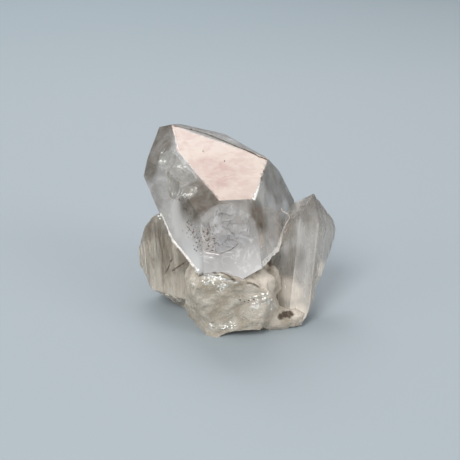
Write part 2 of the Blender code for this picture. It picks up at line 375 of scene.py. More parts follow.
slice_up(big_crystal, MAIN, SLICE)
slice_up(right_crystal, RIGHT, SLICE)
slice_up(left_crystal, LEFT, SLICE)
for little, crystal in zip(little_crystals, little_ones):
    slice_up(little, crystal, SLICE)

# %% [markdown]
# ## The broken root
#
# The root is rock that was torn from the wall of a cleft: lumps and ledges with a sandy grain. It starts as a
# sawn block, with a sawn ledge in front, another one behind and a few angular and rounded lumps fused on.
# Remesh turns that into even little squares, and Displace modifiers then push the squares about with noise,
# first in big lumps, then in small ones.

# %% The root's block, ledges and lumps
def upright(heart, faces):
    """A block of rock that doesn't lean, told in the same way as a crystal."""
    return {"heart": heart, "lean": 0, "heading": 0, "turn": 0, "faces": faces}


ROOT = upright((2, 3, 9), {
    "front": (96, 8, 16.9), "front left": (97, -68, 15.3), "lower front left": (120, -50, 18.1),
    "front right": (102, 47, 15.8), "upper right": (72.5, 96, 6.9), "upper left": (39.5, -104, 9.2),
    "lower front right": (107.4, 26, 15.6), "left": (96, -105, 15.5), "right": (102, 102, 18.5),
    "back": (92, 178, 19.3), "back left": (70, -140, 18.0), "top": (13, 167, 5.5), "bottom": (180, 0, 13.0),
})
LEDGE = upright((0, -10, 9), {
    "front": (100.8, 1.2, 6.5), "left": (104.7, -30.2, 8.75), "upper left": (64, -80.5, 11.4),
    "lower left": (106.9, -64, 9.6), "right": (105.8, 54.9, 10.9), "upper right": (70, 90, 11.2),
    "top left": (17.3, -60, 12.1), "top right": (24.9, 71.2, 10.1), "far left": (94, -88, 12.0),
    "bottom": (180, 0, 13.0), "back": (90, 180, 12.0),
})
BACK_LEDGE = upright((3, 12, 6), {
    "right": (96, 80, 15.0), "back right": (104, 128, 13.5), "back": (98, 172, 12.0),
    "back left": (106, -142, 14.0), "left": (98, -95, 14.0), "top": (14, 150, 7.5),
    "top right": (50, 75, 12.5), "top left": (48, -110, 11.0), "bottom": (180, 0, 10.0),
    "front": (90, 0, 14.0),
})
ROOT_LUMPS = (  # place and half sizes in measured millimetres, and detail: 1 is angular, 3 is round
    ((12.0, -8.6, 2.2), (5.6, 3.2, 3.4), 3),
    ((17.2, -7.8, 2.1), (3.9, 3.2, 3.1), 1),
    ((-9.2, -13.6, 15.5), (1.6, 1.8, 3.2), 3),
    ((8.4, -11.5, 13.6), (4.0, 4.6, 4.8), 1),
    ((11.6, -3.0, 11.0), (2.6, 4.0, 4.4), 3),
)
ROOT_GRAIN = 0.4 * MM

root = saw_out("root", ROOT)
for ledge_name, ledge in (("ledge", LEDGE), ("back_ledge", BACK_LEDGE)):
    combine(root, saw_out(ledge_name, ledge), "UNION")
for place, half_sizes, detail in ROOT_LUMPS:
    half_sizes = [value * MM for value in half_sizes]
    combine(root, lump("root_lump", at(place), half_sizes, detail=detail), "UNION")

# %% Break up its surface
ROUGHNESS = (  # kind of noise, size of its lumps, how far it moves the rock
    ("CLOUDS", 6.5 * MM, 0.9 * MM),
    ("VORONOI", 4.2 * MM, 0.8 * MM),
    ("CLOUDS", 2.2 * MM, 0.45 * MM),
    ("VORONOI", 1.5 * MM, 0.45 * MM),
    ("CLOUDS", 0.8 * MM, 0.35 * MM),
)


def even_grid(obj, size):
    remesh = obj.modifiers.new("even grid", "REMESH")
    remesh.mode = "VOXEL"
    remesh.voxel_size = size
    apply_modifier(obj, remesh)


def push_about(obj, kind, size, depth, group=""):
    texture = bpy.data.textures.new(f"{obj.name} {kind.lower()} {size / MM:.1f}", kind)
    texture.noise_scale = size
    push = obj.modifiers.new("push", "DISPLACE")
    push.texture = texture
    push.texture_coords = "LOCAL"
    push.strength = depth
    push.mid_level = 0.5
    push.vertex_group = group
    apply_modifier(obj, push)


even_grid(root, ROOT_GRAIN)
for kind, size, depth in ROUGHNESS:
    push_about(root, kind, size, depth)
even_grid(root, ROOT_GRAIN)
report(root)

# %% [markdown]
# ## Finer still where it counts
#
# The broken rim, the frosted patch and the lip below the shining end are full of detail that is smaller than a
# slice. There the same slicing is done again with thinner slices, while all other faces are hidden, so the mesh
# stays light elsewhere.

# %% Ways to say where something is
FULL_SHARE = 0.45  # a mark is full out to this share of its reach


def soft_step(value, low, high):
    """0 below low, 1 above high, and an even curve in between."""
    share = np.clip((value - low) / (high - low), 0, 1)
    return share * share * (3 - 2 * share)


def near(points, places, radius):
    """1 at and round the measured places, falling to 0 at the radius in mm."""
    mark = np.zeros(len(points))
    for place in places:
        distance = np.linalg.norm(points - np.array(at(place)), axis=1)
        mark = np.maximum(mark, 1 - soft_step(distance, FULL_SHARE * radius * MM, radius * MM))
    return mark


def rim_mark(points):
    """1 on the broken rim, falling evenly to 0 at its width."""
    shares = [np.linalg.norm(points - np.array(point), axis=1) / (width * MM) for point, width in broken_rim]
    return np.clip(1 - np.min(shares, axis=0), 0, 1)


# %% Slice the rim, the frosted patch and the lip below the shining end again
FINE_SLICE = 0.33 * MM
FROSTED_PLACES = ((-18.3, 17.9, 40.3), (-15.0, 9.9, 39.6), (-17.2, 14.0, 40.5), (-11.5, 6.0, 38.4),
                  (-15.4, 5.6, 35.1), (-11.8, -0.1, 36.2), (-14.0, 7.0, 37.5))
FROST_REACH = 4.4  # in mm, from each of those places
FACET_LIP = ((-2.6, -6.6, 34.6), (-1.0, -6.6, 34.6), (0.6, -6.6, 34.5), (2.2, -6.6, 34.5), (3.8, -6.6, 34.4),
             (5.2, -6.6, 34.3))
LIP_REACH = 1.4


def needs_detail(points):
    frosted = near(points, FROSTED_PLACES, FROST_REACH)
    return np.max([rim_mark(points), frosted, near(points, FACET_LIP, LIP_REACH)], axis=0)


slice_up(big_crystal, MAIN, FINE_SLICE, needs_detail)

# %% [markdown]
# ## Shallow dishes
#
# On its front the big crystal has a wide, shallow hollow like the inside of a spoon, and a few smaller ones on
# its left. Each is a flat ball that is sunk a little way into the face and taken out with a Boolean.

# %% Sink flat balls into the faces
DISHES = (  # face, place in measured millimetres, half width, half height, depth
    ("front", (-0.8, -10.6, 28.7), 7.2, 6.4, 0.45),
    ("left end", (-17.4, 14.5, 40.2), 4.6, 3.4, 0.35),
    ("corner", (-12.4, 5.0, 38.0), 3.8, 4.6, 0.4),
    ("left", (-15.0, 4.4, 35.6), 4.0, 3.0, 0.4),
)
DISH_ROUNDNESS = 3  # a dish's ball is this many times as thick as the dish is deep
DISH_DETAIL = 6
for face, place, half_width, half_height, depth in DISHES:
    normal, on_plane = planes_of(MAIN)[face]
    thickness = depth * DISH_ROUNDNESS
    middle = at(place) + normal * (on_plane - at(place)).dot(normal)
    centre = middle + normal * (thickness - depth) * MM
    half_sizes = [value * MM for value in (half_width, half_height, thickness)]
    flat_ball = lump("dish", (0, 0, 0), half_sizes, detail=DISH_DETAIL)
    flat_ball.matrix_world = Matrix.Translation(centre) @ normal.to_track_quat("Z", "Y").to_matrix().to_4x4()
    combine(big_crystal, flat_ball, "DIFFERENCE")
    report(big_crystal)

# %% [markdown]
# ## Growth marks
#
# Crystal faces look flat, but they roll very gently, and that is enough to bend what is seen through them. The
# two side crystals also carry fine ribs along their length, because they are bundles that grew side by side.

# %% Gentle rolls on the faces
ROLLS = (("CLOUDS", 7 * MM, 0.16 * MM), ("CLOUDS", 2.6 * MM, 0.07 * MM))
for crystal in (big_crystal, right_crystal, left_crystal, *little_crystals):
    for kind, size, depth in ROLLS:
        push_about(crystal, kind, size, depth)
    report(crystal)

# %% Ribs along the side crystals
RIB_RUN = 0.04  # how fast a rib changes along the crystal, next to how fast it changes across


def rib(obj, crystal, width, depth, seed):
    """Moves the surface in and out by noise that hardly changes along the crystal."""
    axis, front, right = crystal_axes(crystal)
    heart = at(crystal["heart"])
    for vertex in obj.data.vertices:
        place = vertex.co - heart
        across = Vector((place.dot(front), place.dot(right), place.dot(axis) * RIB_RUN)) / width
        vertex.co += vertex.normal * noise.noise(across + Vector((seed, 0, 0))) * depth
    report(obj)


rib(right_crystal, RIGHT, 1.1 * MM, 0.22 * MM, seed=3)
rib(left_crystal, LEFT, 1.6 * MM, 0.45 * MM, seed=8)

# %% [markdown]
# ## A frosted patch
#
# On the left of the shining end the skin is etched, as if by acid: it is matt and pitted, with a ragged edge.
# A vertex group says where, and Displace pits only that, so the faces around it stay flat and clear.

# %% Where the skin is etched
FACE_DEPTH = (0.2 * MM, 0.4 * MM)  # how far off a face's plane the skin is still part of it, wholly and at all
FROST_EDGE = ((0.55, 1.7, 0.0), (0.3, 0.7, 5.0))  # strength, size in mm and seed of the noise in the ragged edge
FROST_CUT = (0.3, 0.75)  # where in the mark the frost begins and is full


def on_face(points, crystal, face):
    """1 on a face's plane, falling to 0 off it."""
    normal, point = planes_of(crystal)[face]
    return 1 - soft_step(np.abs((points - np.array(point)) @ np.array(normal)), *FACE_DEPTH)


def noise_at(points, size, seed=0.0):
    """Smooth noise, from about -1 to 1, at each point."""
    return np.array([noise.noise(Vector(point) / size + Vector((seed, seed, 0))) for point in points])


def frosted_mark(points):
    mark = near(points, FROSTED_PLACES, FROST_REACH)
    touched = mark > 0
    mark[touched] += sum(share * noise_at(points[touched], size * MM, seed) for share, size, seed in FROST_EDGE)
    return soft_step(mark, *FROST_CUT) * (1 - on_face(points, MAIN, "shining end"))


# %% Etch it
def weigh(obj, name, weights):
    group = obj.vertex_groups.new(name=name)
    for index in np.nonzero(weights > 0)[0]:
        group.add([int(index)], float(weights[index]), "REPLACE")


weigh(big_crystal, "etched", frosted_mark(points_of(big_crystal)))
push_about(big_crystal, "VORONOI", 0.9 * MM, 0.10 * MM, "etched")
push_about(big_crystal, "CLOUDS", 0.5 * MM, 0.08 * MM, "etched")
report(big_crystal)

# %% [markdown]
# ## Fusing everything
#
# The crystals overlap each other and the root. A Boolean union drops all that is inside and leaves one closed
# skin, so light meets quartz only where real quartz has a surface.

# %% One body
quartz = big_crystal
quartz.name = "quartz_group"
quartz.data.name = "quartz_group"
for other in (right_crystal, left_crystal, *little_crystals, root):
    combine(quartz, other, "UNION")
report(quartz)

# %% Break the hollows out
HOLLOWS = (  # place and half sizes, both in measured millimetres
    ((5.5, -16.0, -1.2), (9.0, 6.5, 3.6)),  # undercut below the front
    ((26.2, -3.0, 8.8), (3.4, 4.5, 4.0)),  # shell-shaped break low on the right crystal
    ((21.8, -6.5, 0.2), (3.4, 4.5, 2.8)),  # corner broken off its foot
    ((5.4, -5.6, 35.0), (0.9, 0.8, 0.7)),  # notch in the shining end's lower edge
    ((8.8, 5.0, 37.9), (0.5, 1.3, 0.8)),  # two notches in its right edge
    ((9.5, 8.6, 39.0), (0.4, 0.7, 0.6)),
    ((-3.4, -19.2, 18.7), (3.2, 1.1, 1.3)),  # bright chip below the front face
)
HOLLOW_DETAIL = 4
for place, half_sizes in HOLLOWS:
    hollow = lump("hollow", at(place), [value * MM for value in half_sizes], detail=HOLLOW_DETAIL)
    combine(quartz, hollow, "DIFFERENCE")
report(quartz)

# %% Open the crevice between the big crystal and the root
CREVICE = ((-8.0, -15.4, 18.0), (-6.9, -17.3, 19.3), (-5.6, -17.8, 19.6), (-4.1, -17.5, 19.7), (-2.8, -17.5, 19.8),
           (-1.8, -17.6, 19.6), (-0.8, -17.9, 19.3), (0.0, -18.1, 18.8), (0.8, -18.3, 18.1), (1.8, -18.2, 17.4),
           (3.3, -18.0, 17.1), (5.1, -17.6, 16.7), (6.7, -17.4, 16.1), (7.9, -17.3, 15.5), (8.9, -16.9, 15.0))
CREVICE_SIZE = (0.08, 0.24)  # smallest and largest half width, in mm
CREVICE_STRAY = 0.25  # how far a piece of the crevice lies off the line, in mm
CREVICE_DETAIL = 2
opening = random.Random(12)
crevice = None
for start, end in zip(CREVICE, CREVICE[1:]):
    way = at(end) - at(start)
    turn = way.to_track_quat("Z", "Y").to_euler()
    half_sizes = (opening.uniform(*CREVICE_SIZE) * MM, opening.uniform(*CREVICE_SIZE) * MM, way.length)
    stray = Vector([opening.uniform(-CREVICE_STRAY, CREVICE_STRAY) * MM for _ in range(3)])
    bit = lump("crevice", (at(start) + at(end)) / 2 + stray, half_sizes, turn, detail=CREVICE_DETAIL)
    if crevice is None:
        crevice = bit
    else:
        combine(crevice, bit, "UNION")
combine(quartz, crevice, "DIFFERENCE")

# %% Cut the foot flat
bpy.ops.mesh.primitive_cube_add(size=BLOCK, location=(0, 0, -BLOCK / 2))
combine(quartz, bpy.context.object, "DIFFERENCE")
report(quartz)

# %% [markdown]
# ## Marking the skin
#
# One material covers the whole body, because light that enters clear quartz has to leave through the same
# material. Where the skin differs, a number on each vertex says how much. Some marks follow from the shape:
# what lies outside all crystals is broken rock, and the shining end carries a painted sheen. The others are
# strewn round places that were measured on the real group, such as frost, painted shade, painted highlights,
# white chips and rust. Vertex numbers stay put when the group is turned, which a pattern thrown at it from the
# camera wouldn't.

# %% Distances that the marks are measured with
EDGE_BLUR = 0.08 * MM


def beyond(points, crystal):
    """How far each point lies outside a crystal, in metres; negative inside."""
    reaches = [(points - np.array(point)) @ np.array(normal) for normal, point in planes_of(crystal).values()]
    return np.max(reaches, axis=0)


def within_edges(points, crystal, face):
    """1 inside the edges of a face, 0 on the faces next to it."""
    others = [plane for name, plane in planes_of(crystal).items() if name != face]
    reaches = [(points - np.array(point)) @ np.array(normal) for normal, point in others]
    return soft_step(-np.max(reaches, axis=0), 0.0, EDGE_BLUR)


def filled(places, step=0.3):
    """The places of a line with more of them set in between, this far apart in mm."""
    line = []
    for start, end in zip(places, places[1:]):
        start, end = Vector(start), Vector(end)
        count = max(1, round((end - start).length / step))
        line += [tuple(start.lerp(end, index / count)) for index in range(count)]
    return line


def strongest(points, spots):
    """The strongest of several sets of places, each with its strength, its reach in mm and its places."""
    return np.max([near(points, places, reach) * strength for strength, reach, places in spots], axis=0)


def set_mark(name, values):
    attribute = quartz.data.attributes.new(name, "FLOAT", "POINT")
    attribute.data.foreach_set("value", values.astype(np.float32))
    print(f"{name}: {values.mean():.3f} of the skin")


# %% Marks that follow the shape
PROUD = (0.12 * MM, 0.4 * MM)  # how far out of all crystals the skin is rock, from not at all to wholly
DUG = (0.7 * MM, 1.2 * MM)  # how deep inside them it is broken open
MILKY_TOP, MILKY_WAVE = 25 * MM, 3 * MM  # the milky lower part ends at this height, give or take a wave
MILKY_FADE = (-9 * MM, 7 * MM)  # where below and above that it begins to clear and is clear
EARTHY_FADE = (4 * MM, 15 * MM)  # the same for the earthy foot, in height over the floor
SIDE_MARKS = (("smoky", LEFT, 1.2 * MM), ("banded", RIGHT, 1.0 * MM))  # how far off the crystal they reach
skin = points_of(quartz)
outside_all = np.min([beyond(skin, crystal) for crystal in (MAIN, RIGHT, LEFT, *little_ones)], axis=0)
set_mark("broken", np.maximum(soft_step(outside_all, *PROUD), soft_step(-outside_all, *DUG)))
milky_top = MILKY_TOP + MILKY_WAVE * np.sin(skin[:, 0] / (3.1 * MM)) * np.cos(skin[:, 1] / (4.3 * MM))
set_mark("milky", 1 - soft_step(skin[:, 2] - milky_top, *MILKY_FADE))
set_mark("earthy", 1 - soft_step(skin[:, 2], *EARTHY_FADE))
set_mark("frosted", frosted_mark(skin))
# The painted sheen: the shining end's pale pink colour stands in for part of the warm panel's reflection
set_mark("painted_sheen", on_face(skin, MAIN, "shining end") * within_edges(skin, MAIN, "shining end"))
for name, crystal, depth in SIDE_MARKS:
    set_mark(name, np.clip(1 - np.abs(beyond(skin, crystal)) / depth, 0, 1))

# %% Veils, the pinker part of the painted sheen, pale sand partly painted as light, and clouds at measured places
PLACE_MARKS = (  # the mark, its reach in mm and its places
    ("veiled", 9.0, ((-0.8, -10.6, 28.7), (1.5, -13.5, 24.5), (-6.5, -10.0, 27.0))),
    # pinker patches of the painted sheen
    ("pinker_sheen", 6.0, ((-3.2, 8.0, 38.7), (-0.8, 6.0, 38.0), (-5.5, 11.0, 39.6), (-4.0, 2.5, 37.6))),
    # pale sand; on the root's right it is also painted light that lifts a side lying in shade
    ("pale", 4.0, (
        (7.2, -16.4, 16.0), (8.9, -12.3, 15.9), (10.5, -1.1, 12.8), (10.0, -12.6, 14.3), (8.2, -17.6, 15.4),
        (11.7, -1.0, 10.4), (5.7, -17.5, 14.2), (7.2, -17.2, 13.0), (8.8, -17.0, 11.7), (10.9, -12.9, 6.3),
        (12.0, -9.3, 2.2), (8.4, -15.9, 6.0), (15.1, -4.1, 9.3), (16.9, -5.6, 8.8), (18.2, -8.3, 3.8),
        (25.9, 2.1, 11.5))),
    ("clouded", 4.5, (
        (-14.7, 2.2, 30.7), (-14.4, 0.4, 28.4), (-13.5, -2.3, 26.2), (-11.7, -6.2, 24.8), (-10.5, -9.3, 22.6),
        (-9.1, -12.8, 20.6))),
)
for name, reach, places in PLACE_MARKS:
    set_mark(name, near(skin, places, reach))

# %% Brown painted shade: wide on the upper faces, faint on the crest, small and dusky elsewhere
# Painted shade: brown laid where the real group looks dark from shade and from the dark that it shows through
PAINTED_SHADE = (  # strength, reach in mm, places
    (1.0, 7.0, (
        (-21.1, 30.6, 44.1), (-20.1, 26.4, 42.9), (-20.5, 23.3, 41.3), (-20.2, 32.1, 45.3), (-21.3, 34.2, 45.4),
        (-19.4, 28.3, 44.3), (-22.2, 25.0, 40.9), (-23.5, 20.0, 37.5), (12.0, 16.1, 37.8), (15.6, 21.2, 31.2),
        (18.4, 24.3, 25.6), (13.5, 14.6, 31.7), (10.6, 10.2, 36.6), (-8.0, -0.3, 36.3), (-6.3, -4.5, 34.9),
        (-8.7, -5.1, 33.7), (-11.2, -2.2, 34.1), (8.4, -5.8, 31.0))),
    (0.4, 5.0, ((-15.0, 33.0, 46.5), (-10.0, 29.5, 45.6), (-4.0, 26.0, 44.4), (2.0, 22.0, 43.2), (8.0, 18.0, 42.0))),
    (0.55, 3.6, (
        (14.5, 0.7, 15.1), (14.6, -1.8, 11.9), (15.5, -0.9, 13.9), (16.9, -0.5, 15.6), (18.2, 0.0, 17.5),
        (22.5, 11.5, 29.7), (22.0, 9.2, 28.4), (20.7, 6.6, 26.9), (16.5, 5.4, 22.3), (15.2, 5.7, 20.4),
        (17.3, 8.3, 24.2), (-19.5, 7.1, 22.2), (-18.9, 5.8, 20.3), (-18.0, 4.4, 18.4), (-18.8, 3.3, 15.2),
        (-16.8, 2.4, 15.6), (-15.3, 0.7, 13.9), (-17.3, 1.4, 13.0), (-13.5, 0.3, 14.6), (-3.9, -6.5, 34.7),
        (-0.5, -6.6, 34.2), (2.6, -6.1, 34.3), (5.8, -6.0, 33.7), (-22.5, 14.0, 31.5), (-21.0, 10.5, 29.5),
        (-15.5, -0.5, 18.5), (-16.5, 1.0, 19.5), (-14.0, -2.5, 17.5), (-12.2, -3.5, 16.0))),
)
set_mark("shaded", strongest(skin, PAINTED_SHADE))

# %% Rust at the right foot
RUST_PLACES = ((13.6, -10.3, 3.7), (14.6, -10.1, 3.9), (15.5, -9.8, 4.0), (16.2, -9.5, 3.9))
RUST_REACH = 1.6
RUST_CUT = (0.35, 0.8)  # where in the ragged mark the rust begins and is full
ragged_rust = near(skin, RUST_PLACES, RUST_REACH) + 0.5 * noise_at(skin, 0.8 * MM)
set_mark("rust", soft_step(ragged_rust, *RUST_CUT))

# %% White chips, loose flakes, painted glints in the frost and a painted highlight along the shining end's edge
# a painted highlight along the shining end's lower right edge
PAINTED_HIGHLIGHT_EDGE = ((8.4, 2.0, 37.2), (7.9, 0.2, 36.7), (7.3, -1.6, 36.2), (6.7, -3.4, 35.7), (6.2, -5.0, 35.2))
FLAKES_AND_GLINTS = (  # strength, reach in mm, places
    (1.0, 1.6, (
        (-6.6, -18.5, 18.0), (-5.9, -18.4, 17.7), (-5.1, -18.5, 18.3), (-4.1, -18.5, 18.6), (-3.0, -18.5, 18.6),
        (-2.3, -18.4, 18.3), (-2.8, -17.9, 15.2), (-1.8, -18.0, 15.8), (-1.3, -18.0, 16.1), (6.0, -16.5, 9.2),
        (6.8, -16.6, 9.9), (7.5, -16.7, 10.5), (8.3, -16.9, 11.4), (9.0, -17.0, 12.0), (9.9, -16.5, 10.6),
        (10.5, -14.5, 8.6), (11.4, -13.1, 8.2), (12.6, -10.9, 7.1), (-4.5, -15.6, 3.3), (-3.2, -15.6, 3.2),
        (-1.8, -15.6, 3.4), (-0.5, -15.6, 3.5), (0.8, -15.6, 3.9))),
    (0.8, 2.6, ((-10.2, -7.5, 15.2), (-9.5, -11.2, 15.4), (-8.8, -14.8, 15.5), (-10.7, -9.6, 13.6))),
    # a white band along the frost's lower edge, then white specks in the frost painted as glints
    (1.0, 1.3, (
        (-15.7, 5.3, 33.8), (-14.4, 3.2, 34.2), (-13.0, 1.2, 34.7), (-11.9, 0.0, 35.0), (-10.7, -0.6, 35.3),
        (-9.9, 0.5, 36.4), (-19.9, 18.2, 39.6), (-19.2, 16.9, 39.4), (-14.0, 10.5, 39.7), (-13.0, 9.6, 40.0),
        (-19.5, 21.3, 41.2))),
)
EDGE_REACH = 0.6
RIM_FADE = (0.15 * MM, 0.4 * MM)  # how far outside the big crystal its white rim fades and ends
rim = rim_mark(skin) * (1 - soft_step(beyond(skin, MAIN), *RIM_FADE))
# the white rim of chips, and a painted highlight along the shining end's lower right edge
set_mark("chipped", np.maximum(rim, near(skin, filled(PAINTED_HIGHLIGHT_EDGE), EDGE_REACH)))
set_mark("flakes_and_glints", strongest(skin, FLAKES_AND_GLINTS))

# %% The oval swirl, the stripes behind, and painted shade in the crevice and below the shining end's lip
OVOID = ((-0.5, -10.2, 29.1), 7.1, 6.6)  # the swirl's middle, half width and half height
STRIPES_START = (14 * MM, 20 * MM)  # how far behind the swirl's middle the stripes begin and are full
SIDE_FADE = (0.3 * MM, 1.0 * MM)  # how far off the side crystals they begin and are full
# painted shade along the crevice and below the shining end's lip
CREVICE_REACH = 0.5
CREVICE_GAPS = (-0.35, 0.1)  # the noise that leaves gaps in the crevice's dark line
LIP_SHARE = 0.8  # how dark the lip is next to the crevice
axis, front, right = crystal_axes(MAIN)
off_middle = skin - np.array(at(OVOID[0]))
reaches = ((right, OVOID[1]), (axis, OVOID[2]), (front, OVOID[2]))
shares = [off_middle @ np.array(way) / (reach * MM) for way, reach in reaches]
set_mark("ovoid", np.linalg.norm(shares, axis=0))
striped = soft_step(-(off_middle @ np.array(front)), *STRIPES_START)
for crystal in (LEFT, RIGHT):
    striped = striped * soft_step(beyond(skin, crystal), *SIDE_FADE)
set_mark("striped", striped)
in_crevice = near(skin, filled(CREVICE), CREVICE_REACH) * soft_step(noise_at(skin, 1.6 * MM, 3.0), *CREVICE_GAPS)
set_mark("crevice", np.maximum(in_crevice, near(skin, filled(FACET_LIP), CREVICE_REACH) * LIP_SHARE))

# %% Smooth shading inside faces, sharp at edges
SHARP_EDGE = math.radians(24)
take_up(quartz)
bpy.ops.object.shade_smooth_by_angle(angle=SHARP_EDGE)
print("edges over", round(math.degrees(SHARP_EDGE)), "degrees stay sharp")

# %% [markdown]
# ## The quartz material
#
# Quartz is clear, bends light by 1.544 and swallows a little of it, more of the blue than of the red, which
# makes it smoky. A picture wrapped round it would look like a sticker, so the material is built up like glaze:
# clean quartz first, then veils, painted shade, a painted sheen, frost, rock, chips with painted highlights,
# painted shade in the crevice and rust, each layer covering what lies under it by its share. Numbers that are
# the same all over sit on the shader itself, and only colour, roughness, see-through and bump vary.

# %% A material, and one way to add a node to it
QUARTZ_IOR = 1.544


def new_material(name):
    material = bpy.data.materials.new(name)
    material.use_nodes = True
    return material, material.node_tree.nodes["Principled BSDF"]


clear_quartz, quartz_shader = new_material("clear_quartz")
quartz_shader.inputs["IOR"].default_value = QUARTZ_IOR


def feed(socket, value):
    """Sets a socket to a number or a colour, or links it to what another node gives."""
    if isinstance(value, (int, float, tuple)):
        socket.default_value = value
    else:
        clear_quartz.node_tree.links.new(value, socket)


def add_node(kind, **values):
    node = clear_quartz.node_tree.nodes.new(kind)
    for name, value in values.items():
        if name in node.inputs.keys():
            feed(node.inputs[name], value)
        else:
            setattr(node, name, value)
    return node


# %% Sums with nodes
def calculate(operation, first, second=0.0):
    node = add_node("ShaderNodeMath", operation=operation)
    feed(node.inputs[0], first)
    feed(node.inputs[1], second)
    return node.outputs["Value"]


def plus(first, second):
    return calculate("ADD", first, second)


def times(first, second):
    return calculate("MULTIPLY", first, second)


def most(first, second):
    return calculate("MAXIMUM", first, second)


def spread(field, low, high, low_out=0.0, high_out=1.0):
    """Takes a field from one range to another, and holds it there."""
    node = add_node("ShaderNodeMapRange")
    ends = {"Value": field, "From Min": low, "From Max": high, "To Min": low_out, "To Max": high_out}
    for name, value in ends.items():
        feed(node.inputs[name], value)
    return node.outputs["Result"]


def thin_lines(field, width, middle=0.5):
    """Lines where a smooth field passes its middle."""
    off_middle = calculate("ABSOLUTE", calculate("SUBTRACT", field, middle))
    return spread(off_middle, 0.0, width, 1.0, 0.0)


# %% Mixing, and covering with one layer after another
def mixed(share, first, second):
    """Mixes two colours, or two numbers, by a share; each may come from a node."""
    is_colour = any(isinstance(value, tuple) or getattr(value, "type", "") == "RGBA" for value in (first, second))
    kind = "Color" if is_colour else "Float"
    node = add_node("ShaderNodeMix", data_type="RGBA" if is_colour else "FLOAT")
    sockets = {socket.identifier: socket for socket in node.inputs}
    for name, value in (("Factor_Float", share), (f"A_{kind}", first), (f"B_{kind}", second)):
        feed(sockets[name], value)
    return {socket.identifier: socket for socket in node.outputs}[f"Result_{kind}"]


def layered(base, layers):
    """Covers a base with layers, each a share and then a colour or a number."""
    for share, value in layers:
        base = mixed(share, base, value)
    return base


# %% [markdown]
# ## The patterns in the quartz
#
# Nothing in a crystal repeats, so every pattern comes from noise on Object coordinates, which stay with the
# crystal when it moves. Squeezed along one way, the same noise makes the long streaks of a bundle of crystals.
# Where a smooth noise passes its middle there is a thin curling line, like the edge of a healed crack.

# %% The marks, and where the patterns lie
MARKS = ("broken", "milky", "frosted", "veiled", "painted_sheen", "pinker_sheen", "shaded", "rust", "crevice", "earthy", "chipped",
         "flakes_and_glints", "smoky", "banded", "pale", "clouded", "ovoid", "striped")
marks = {name: add_node("ShaderNodeAttribute", attribute_name=name).outputs["Fac"] for name in MARKS}


def object_place(turn=(0, 0, 0), scale=(1, 1, 1)):
    place = add_node("ShaderNodeTexCoord").outputs["Object"]
    return add_node("ShaderNodeMapping", Vector=place, Rotation=turn, Scale=scale).outputs["Vector"]


def noise_field(place, size, detail=4.0, roughness=0.55, distortion=0.0):
    node = add_node("ShaderNodeTexNoise", Vector=place, Scale=1 / size, Detail=detail, Roughness=roughness,
                    Distortion=distortion)
    return node.outputs["Fac"]


as_it_lies = object_place()
leaning = object_place(turn=(math.radians(32), 0, 0))  # Z along the crystals
along_crystals = add_node("ShaderNodeMapping", Vector=leaning, Scale=(1, 1, 0.07)).outputs["Vector"]
across_back = object_place((math.radians(35), 0, 0), (0.06, 0.06, 1))
level = object_place(scale=(0.25, 0.25, 1))
print(len(marks), "marks are read")

# %% Noise of all sizes
grains = noise_field(as_it_lies, 0.35 * MM, 2.0, 0.6)
speckle = noise_field(as_it_lies, 0.7 * MM, 3.0, 0.7)
ragged = noise_field(as_it_lies, 1.1 * MM, 5.0, 0.75, 0.6)
ripple = noise_field(as_it_lies, 1.8 * MM, 3.0)
patches = noise_field(as_it_lies, 3.5 * MM, 5.0, 0.65, 0.4)
strata = noise_field(level, 0.5 * MM, 3.0)
stripes = noise_field(across_back, 0.7 * MM, 3.0)
broad = spread(noise_field(as_it_lies, 9 * MM, 2.0), 0.38, 0.55, 0.25, 1.0)
streaks = times(spread(noise_field(along_crystals, 2.0 * MM, 4.0, 0.6), 0.40, 0.66), broad)
cracks = thin_lines(noise_field(along_crystals, 3.0 * MM, 4.0, 0.6, 1.0), 0.03)

# %% Milky wisps, with curls like the edges of healed cracks
swirls = spread(noise_field(as_it_lies, 5 * MM, 6.0, 0.6, 1.6), 0.50, 0.68)
curls = thin_lines(noise_field(as_it_lies, 7 * MM, 2.0, 0.5, 1.8), 0.02)
curls = times(curls, spread(patches, 0.42, 0.58))
veiled = most(marks["veiled"], times(marks["striped"], 0.8))
wisps = most(times(swirls, mixed(veiled, 0.35, 0.6)), times(curls, mixed(veiled, 0.0, 0.55)))

# %% The oval swirl on the front, a painted highlight along its rim, and the painted shade that stops there
in_ovoid = spread(marks["ovoid"], 0.78, 1.04, 1.0, 0.0)
ovoid_edge = plus(marks["ovoid"], times(calculate("SUBTRACT", patches, 0.5), 0.12))
# the painted shade stops at the swirl's outline
shaded = times(marks["shaded"], spread(ovoid_edge, 0.88, 1.05))
# a painted highlight along the dish's rim
dish_rim_highlight = thin_lines(ovoid_edge, 0.045, middle=1.0)
dish_rim_highlight = times(dish_rim_highlight, spread(noise_field(as_it_lies, 6 * MM, 1.0), 0.45, 0.56))
wisps = most(times(wisps, mixed(shaded, 1.0, 0.3)), times(dish_rim_highlight, 0.5))
loops = plus(times(marks["ovoid"], 3.0), times(noise_field(as_it_lies, 6 * MM, 3.0, 0.5, 1.2), 6.0))
swirl_lines = times(thin_lines(calculate("FRACT", loops), 0.10), in_ovoid)
swirl_lines = times(swirl_lines, spread(noise_field(as_it_lies, 3 * MM, 1.0), 0.36, 0.50))

# %% Frost, and chips and flakes with painted highlights and glints
frost = times(marks["frosted"], spread(patches, 0.35, 0.62, 0.55, 1.0))
# white chips, with a painted highlight on an edge and painted glints in the frost
speckled_rim = plus(marks["chipped"], times(calculate("SUBTRACT", speckle, 0.5), 0.8))
chips_and_highlights = most(spread(speckled_rim, 0.45, 0.55), times(marks["flakes_and_glints"], spread(ragged, 0.50, 0.56)))

